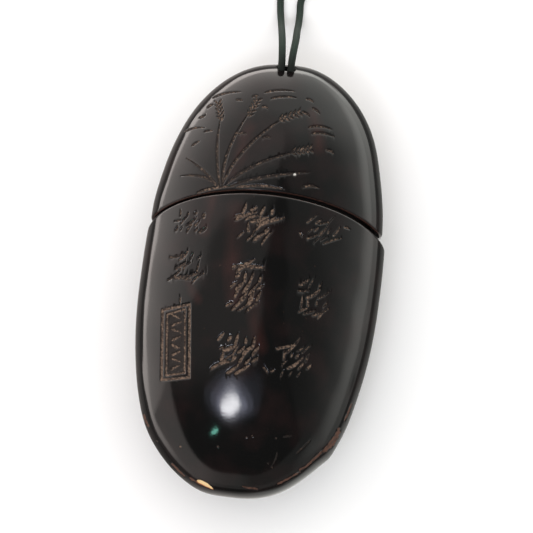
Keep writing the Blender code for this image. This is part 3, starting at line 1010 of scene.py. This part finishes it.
def lacquered_wood():
    """Black-brown lacquer over a red ground on turned wood, rubbed to a gloss. The black is
    thin in places and lets the red through, the carving holds crumbs of old buff filling, and
    the edges are rubbed down to the red ground and the wood."""
    material, shader, add = new_material("lacquered_wood")
    place = add("ShaderNodeTexCoord").outputs["Object"]
    points = {
        name: add("ShaderNodeAttribute", attribute_name=name).outputs["Fac"]
        for name in ("cut", "fill", "lip", "worn", "chip", "nick", "thin", "outside")
    }
    crumbs = add(NOISE, {"Vector": place, "Scale": 1 / CRUMB, "Detail": 3.0})
    rub = add(NOISE, {"Vector": place, "Scale": 1 / RUBBED, "Detail": 4.0})
    clouds = add(NOISE, {"Vector": place, "Scale": 1 / CLOUD, "Detail": 6.0})
    grain = add("ShaderNodeMapping", {"Vector": place, "Scale": (1.0, STREAK_STRETCH, 1.0)})
    streaks = add(NOISE, {"Vector": grain, "Scale": 1 / STREAK, "Detail": 5.0})

    shown = []
    for pattern, name, (weight, low, high) in (
        (crumbs, "cut", CUT_SHOWS),
        (crumbs, "fill", FILLING_HOLDS),
        (rub, "worn", WORN_SHOWS),
        (rub, "lip", LIP_SHOWS),
    ):
        share = add(MATH, {0: pattern, 1: weight, 2: points[name]}, operation="MULTIPLY_ADD")
        shown.append(add(RANGE, {0: share, FROM: low, TO: high}))
    cut, held, worn, lip = shown
    held = add(MATH, {0: held, 1: cut}, operation="MULTIPLY")
    thin = add(MATH, {0: points["thin"], 1: streaks}, operation="MULTIPLY")
    thin = add(RANGE, {0: thin, FROM: 0.17, TO: 0.85})
    warm = add(RANGE, {0: clouds, FROM: 0.45, TO: 0.7})
    crumb = add(RANGE, {0: crumbs, FROM: 0.4, TO: 0.64})
    chip = add(RANGE, {0: points["chip"], FROM: 0.05, TO: 0.25})
    paler = add(RANGE, {0: points["chip"], FROM: 0.12, TO: 0.42})
    nick = add(RANGE, {0: points["nick"], FROM: 0.2, TO: 0.5})
    inside = add(RANGE, {0: points["outside"], FROM: 1.0, TO: 0.6})

    # The black coat, the buff filling, the rubbed ground and the chip's pale wood
    black, filling, ground, wood = (
        add(MIX, {SHARE: share, UNDER: srgb(one), OVER: srgb(other)}, **COLOURS)
        for share, one, other in (
            (warm, "#0d0d0d", "#181111"),
            (crumb, "#2a1e18", "#745f4f"),
            (rub, "#1d100c", "#6a4636"),
            (paler, "#b9683a", "#eccf9a"),
        )
    )

    # The layers, each over the last: the red under thin black, bare cuts, filling, worn places
    # and edges, the chip, the nick's painted pale glint, and the dark unpolished inside
    colour = black
    for share, over in (
        (thin, srgb("#2e1b19")),
        (cut, srgb("#150e0b")),
        (held, filling),
        (worn, ground),
        (lip, srgb("#402a24")),
        (chip, wood),
        # painted glint: the nick painted pale grey
        (nick, srgb("#d6d3cd")),
        (inside, srgb("#080707")),
    ):
        colour = add(MIX, {SHARE: share, UNDER: colour, OVER: over}, **COLOURS)

    # A soft gloss where the lacquer is whole
    gloss = add(MATH, {0: clouds, 1: 0.11, 2: 0.035}, operation="MULTIPLY_ADD")
    dull = worn
    for other in (chip, cut, inside):
        dull = add(MATH, {0: dull, 1: other}, operation="MAXIMUM")
    rough = add(MIX, {SHARE: dull, 2: gloss, 3: 0.75})
    grit = add(MATH, {0: dull, 1: 0.05}, operation="MAXIMUM")
    grit = {"Height": crumbs, "Strength": grit, "Distance": 0.09 * MM}
    bump = add("ShaderNodeBump", grit)
    join(shader, {"Base Color": colour, "Roughness": rough, "Normal": bump, "IOR": 1.5})
    return material


def silk():
    """Dyed silk, braided, with fibres: a painted lustre on each raised strand, painted shade between
    the strands, and painted shade where it goes into the case."""
    material, shader, add = new_material("silk_cord")
    place = add("ShaderNodeTexCoord").outputs["Object"]
    raised = add("ShaderNodeAttribute", attribute_name="raised").outputs["Fac"]
    soiled = add("ShaderNodeAttribute", attribute_name="soiled").outputs["Fac"]
    fibre = add(NOISE, {"Vector": place, "Scale": 1 / FIBRE, "Detail": 2.0})
    # painted lustre and painted shade: lighter where the strands are raised, darker between them,
    # broken by the fibres
    lay = add(MATH, {0: raised, 1: fibre}, operation="MULTIPLY")
    colour = srgb("#17201b")
    # painted shade near the ends, where the cord goes into the case
    for share, over in ((lay, "#3a4b41"), (soiled, "#1d211d")):
        colour = add(MIX, {SHARE: share, UNDER: colour, OVER: srgb(over)}, **COLOURS)
    join(shader, {"Base Color": colour, "Roughness": 0.9})
    return material


lacquer = lacquered_wood()
body.data.materials.append(lacquer)
cap.data.materials.append(lacquer)
cord.data.materials.append(silk())


# Floor and light

FLOOR_SIZE = 6.0


def make_floor():
    """A floor of matt white paper, which shows no gloss."""
    bpy.ops.object.select_all(action="DESELECT")
    bpy.ops.mesh.primitive_plane_add(size=FLOOR_SIZE)
    floor = bpy.context.object
    floor.name = "floor"
    material, shader, _ = new_material("white_paper")
    join(shader, {"Base Color": srgb("#f6f6f6"), "Roughness": 0.9})
    floor.data.materials.append(material)
    floor.visible_glossy = False


# Lamps: each one's angle off the zenith and turn from the case's right in degrees, its width and
# height in metres, its watts and its colour. The haze round the round lamp is three weak ones.
LAMP_DISTANCE = 0.8
LAMPS = {
    "round_lamp": (21.8, -114, (0.19, 0.05), 0.45, "#ffffff"),
    "lamp_glow": (21.3, -115, (0.3, 0.085), 0.14, "#dfe4ff"),
    "lamp_haze": (20.6, -116, (0.45, 0.13), 0.14, "#dfe4ff"),
    "lamp_veil": (20.0, -117, (0.62, 0.18), 0.1, "#dfe4ff"),
    "small_green_lamp": (34.3, -123, (0.055, 0.02), 0.05, "#9bffe5"),
    "overhead_softbox": (0, 0, (1.6, 1.6), 9.0, "#ffffff"),
}


def make_lamp(name, zenith, turn, size, power, colour):
    zenith, turn = math.radians(zenith), math.radians(turn)
    way = Vector(
        (math.sin(zenith) * math.cos(turn), math.sin(zenith) * math.sin(turn), math.cos(zenith))
    )
    across = Vector((0, 1, 0)).cross(way).normalized()
    data = bpy.data.lights.new(name, "AREA")
    data.shape = "ELLIPSE"
    data.size, data.size_y = size
    data.energy = power
    data.color = srgb(colour)[:3]
    place = Vector((0, 0, MIDDLE_HEIGHT)) + way * LAMP_DISTANCE
    return stand(name, data, place, (across, way.cross(across), way))


# The room round the case, whose light shows in the gloss
BRIGHTEST = 10.0
# The pale wall is behind the first two planes, at the left and towards the cap, and the dimmer
# wall at the right is before the third
PLANES = {
    "wall": (0.385, -0.803, 0.456),
    "top": (0.29, -1.0, 0.0),
    "right": (0.67, 0.7, -0.247),
}
WALL_LIGHT = (2.8, 2.08, 1.49, 1.03, 0.71, 0.53)  # from eye level up to overhead

# Bands of light round the room. Each has the heights where it starts and ends, both faded, and
# its brightness from the left by the foot, the right and the cap back to the left.
BANDS = (
    ((-2.0, -1.9), (-0.6, -0.25), (0.35, 0.12, 0.7, 1.2, 0.3, 0.3, 0.6, 0.5, 0.35)),
    ((-0.6, -0.25), (-0.02, 0.02), (0.3, 0.2, 0.05, 0.08, 0.15, 0.3, 0.5, 0.4, 0.3)),
    ((-0.18, -0.11), (0.0, 0.09), (5.6, 1.2, 0.3, 0.3, 0.8, 2.6, 6.6, 6.6, 5.6)),
    ((0.0, 0.04), (0.1, 0.42), (0.0, 0.0, 0.0, 0.1, 1.6, 3.1, 1.9, 0.0, 0.0)),
)
BAND_TILT = 0.12  # how much lower the bands stand towards the cap

# The room's soft edges: what each goes by, and where it is none and full
EDGES = {
    "wall": ("wall", 0.03, -0.03),
    "top": ("top", -0.3, -0.36),
    "left": ("x", 0.05, 0.0),
    "right": ("right", 0.0, 0.1),
    "low": ("z", 0.52, 0.45),
    "glow": ("y", -0.35, 0.0),
    "above": ("height", -0.02, 0.02),
}
# Its even slopes: what each goes by, from where to where, and its brightness there
SLOPES = {
    "wall": ("y", -1.0, 0.0, 0.65, 1.0),
    "right": ("y", -0.5, 0.0, 0.2, 1.0),
    "near_cap": ("y", 0.0, 0.45, 0.0, 0.2),
    "cap_end": ("y", 0.45, 0.7, 0.0, 0.65),
    "low": ("x", -0.4, 0.2, 0.93, 0.2),
}
RIGHT_FALL = (2.0, 1.2, 0.08)  # of the right wall's light upwards: its power, size and least
CEILING = (0.3, 0.045)  # light towards the cap at the left, and everywhere


def make_room():
    """A dim ceiling, pale walls at the left, the right and the top, and a bright rim."""
    world = bpy.data.worlds.new("room")
    world.use_nodes = True
    add = partial(add_node, world.node_tree)
    soft = {"interpolation_type": "SMOOTHSTEP"}
    way = add("ShaderNodeTexCoord").outputs["Generated"]
    x, y, z = add("ShaderNodeSeparateXYZ", {0: way}).outputs
    turn = add(MATH, {0: y, 1: x}, operation="ARCTAN2")
    turn = add(MATH, {0: turn, 1: 0.5 / math.pi, 2: 0.5}, operation="MULTIPLY_ADD")
    height = add(MATH, {0: y, 1: BAND_TILT, 2: z}, operation="MULTIPLY_ADD")
    ways = {"x": x, "y": y, "z": z, "height": height}
    for name, plane in PLANES.items():
        ways[name] = add("ShaderNodeVectorMath", {0: way, 1: plane}, operation="DOT_PRODUCT")
    edges = {
        name: add(RANGE, {0: ways[by], FROM: none, TO: full}, **soft)
        for name, (by, none, full) in EDGES.items()
    }
    slopes = {
        name: add(RANGE, {0: ways[by], FROM: low, TO: high, "To Min": start, "To Max": end})
        for name, (by, low, high, start, end) in SLOPES.items()
    }

    # The brightness up the left wall and along each band, read from its row of values
    rows = [(z, WALL_LIGHT)] + [(turn, brightness) for _, _, brightness in BANDS]
    row_lights = []
    for value, brightness in rows:
        ramp = add("ShaderNodeValToRGB", {0: value})
        colours = ramp.color_ramp.elements
        while len(colours) < len(brightness):
            colours.new(0.5)
        for index, level in enumerate(brightness):
            share = level / BRIGHTEST
            colours[index].position = index / (len(brightness) - 1)
            colours[index].color = (share, share, share, 1)
        row_lights.append(add(MATH, {0: ramp, 1: BRIGHTEST}, operation="MULTIPLY"))
    wall_light, *band_lights = row_lights

    # The pale wall at the left and top, dimmer towards the foot
    wall = add(MATH, {0: edges["wall"], 1: edges["top"]}, operation="MAXIMUM")
    for other in (edges["left"], wall_light, slopes["wall"]):
        wall = add(MATH, {0: wall, 1: other}, operation="MULTIPLY")

    # The dimmer wall at the right, brighter low down and towards the cap
    right = add(MATH, {0: 1.0, 1: z}, operation="SUBTRACT")
    for operation, other in (
        ("POWER", RIGHT_FALL[0]),
        ("MULTIPLY", RIGHT_FALL[1]),
        ("ADD", RIGHT_FALL[2]),
        ("MULTIPLY", slopes["right"]),
        ("ADD", slopes["near_cap"]),
        ("ADD", slopes["cap_end"]),
        ("MULTIPLY", edges["right"]),
    ):
        right = add(MATH, {0: right, 1: other}, operation=operation)

    # A low wall all round, dimmer at the right, and the ceiling
    low = add(MATH, {0: edges["low"], 1: slopes["low"]}, operation="MULTIPLY")
    glow = add(MATH, {0: edges["glow"], 1: CEILING[0]}, operation="MULTIPLY")
    glow = add(MATH, {0: glow, 1: edges["left"], 2: CEILING[1]}, operation="MULTIPLY_ADD")
    light = wall
    for other in (right, low, glow):
        light = add(MATH, {0: light, 1: other}, operation="MAXIMUM")
    light = add(MATH, {0: light, 1: edges["above"]}, operation="MULTIPLY")
    for (start, finish, _), band in zip(BANDS, band_lights):
        for away, near in (start, reversed(finish)):
            edge = add(RANGE, {0: height, FROM: away, TO: near}, **soft)
            band = add(MATH, {0: band, 1: edge}, operation="MULTIPLY")
        light = add(MATH, {0: light, 1: band}, operation="MAXIMUM")

    # A warmer white at the left than at the right
    tint = add(RANGE, {0: x, FROM: -0.3, TO: 0.3})
    tint = add(MIX, {SHARE: tint, UNDER: srgb("#fff5f0"), OVER: srgb("#fefef8")}, **COLOURS)
    join(world.node_tree.nodes["Background"], {"Color": tint, "Strength": light})
    bpy.context.scene.world = world


bpy.context.scene.view_settings.view_transform = "Standard"
make_floor()
make_room()
for lamp_name, setting in LAMPS.items():
    lamp = make_lamp(lamp_name, *setting)
lamp.visible_glossy = False  # the last one, the softbox, doesn't show in the gloss
